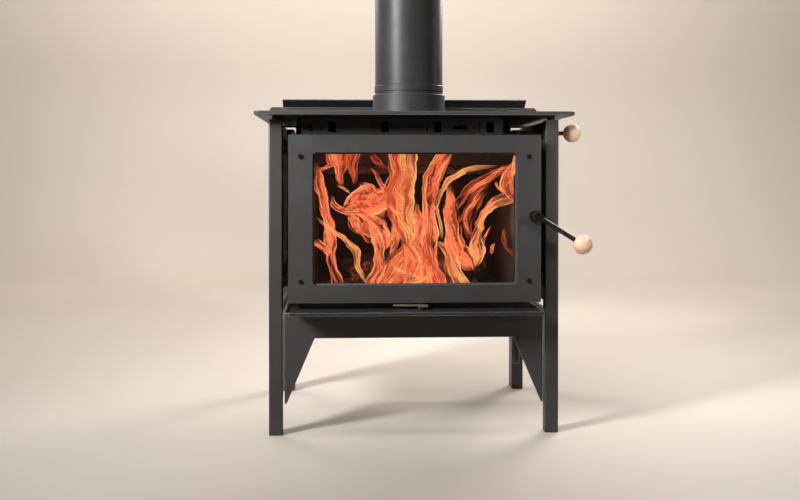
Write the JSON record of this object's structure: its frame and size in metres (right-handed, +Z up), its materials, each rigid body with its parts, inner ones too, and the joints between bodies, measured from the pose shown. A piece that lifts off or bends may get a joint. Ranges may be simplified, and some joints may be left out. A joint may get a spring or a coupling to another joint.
{
  "type": "wood burning stove",
  "caption": "Free-standing wood burning stove on post legs, with a glazed swing door, a top flue outlet and ball-ended door and air handles.",
  "frame": {"origin": "on the floor, under the middle of the box that the whole stove fills, with its handles and flue pipe", "axes": "+Z up along the flue, +X to the right of a person facing the door, the door faces -Y"},
  "size_m": [0.6893, 0.573, 0.96],
  "materials": {
    "stove_paint": "satin heat-resistant charcoal paint on sheet steel",
    "flue_paint": "satin black flue paint",
    "wood_knob": "pale turned hardwood, thinly oiled",
    "door_glass": "clear ceramic stove glass",
    "seal_rope": "graphite-coated glass fibre rope",
    "firebrick": "sooted insulating firebrick",
    "bare_steel": "heat-browned bare steel",
    "blackened_steel": "blackened steel"
  },
  "bodies": {
    "stove": {"air_box": "stove_paint", "air_rod_guide": "stove_paint", "air_shoulder_screws": "blackened_steel", "airwash_channel": "stove_paint", "ash_lip": "stove_paint", "baffle": "firebrick", "base_spacers": "stove_paint", "boost_pivot": "bare_steel", "bottom_heat_shield": "stove_paint", "collar_bolts": "blackened_steel", "firebox_brackets_left": "stove_paint", "firebox_brackets_right": "stove_paint", "firebox_front": "stove_paint", "firebox_roof": "stove_paint", "firebox_shell": "stove_paint", "firebrick_back": "firebrick", "firebrick_left": "firebrick", "firebrick_right": "firebrick", "floor_bricks": "firebrick", "flue_collar": "flue_paint", "flue_pipe": "flue_paint", "front_post_left": "stove_paint", "front_post_right": "stove_paint", "front_skirt": "stove_paint", "heat_deflector": "stove_paint", "hinge_brackets": "stove_paint", "hinge_pins": "bare_steel", "latch_keeper": "stove_paint", "post_spacers": "stove_paint", "rear_heat_shield": "stove_paint", "rear_post_left": "stove_paint", "rear_post_right": "stove_paint", "rear_shield_spacers": "stove_paint", "roof_spacers": "stove_paint", "secondary_air_tubes": "bare_steel", "side_panel_left": "stove_paint", "side_panel_right": "stove_paint", "side_rails_left": "stove_paint", "side_rails_right": "stove_paint", "side_skirt_left": "stove_paint", "side_skirt_right": "stove_paint", "top_plate": "stove_paint"},
    "door": {"door_plate": "stove_paint", "door_inner_frame": "stove_paint", "door_rope_seal": "seal_rope", "door_glass": "door_glass", "glass_gasket": "seal_rope", "door_screws": "blackened_steel", "door_hinge_lugs": "stove_paint", "handle_bush": "stove_paint"},
    "handle": {"handle_spindle": "blackened_steel", "handle_rod": "blackened_steel", "handle_ball": "wood_knob", "latch_cam": "blackened_steel", "spindle_nut": "blackened_steel"},
    "air_control": {"air_slide_plate": "stove_paint", "air_rod": "blackened_steel", "air_rod_nut": "blackened_steel", "air_ball": "wood_knob"},
    "air_lever": {"boost_lever": "bare_steel"}
  },
  "joints": [
    {"name": "door_swing", "type": "hinge", "parent": "stove", "child": "door", "pos_m": [-0.262, -0.2145, 0.4465], "axis": [0, 0, -1], "range_deg": [0, 110]},
    {"name": "handle_turn", "type": "hinge", "parent": "door", "child": "handle", "pos_m": [0.232, -0.2285, 0.451], "axis": [0, -1, 0], "range_deg": [0, 75]},
    {"name": "air_slide", "type": "slide", "parent": "stove", "child": "air_control", "axis": [1, 0, 0], "range_m": [0, 0.02]},
    {"name": "lever_turn", "type": "hinge", "parent": "stove", "child": "air_lever", "pos_m": [-0.004, -0.2175, 0.27], "axis": [0, 0, 1], "range_deg": [0, 25]}
  ]
}
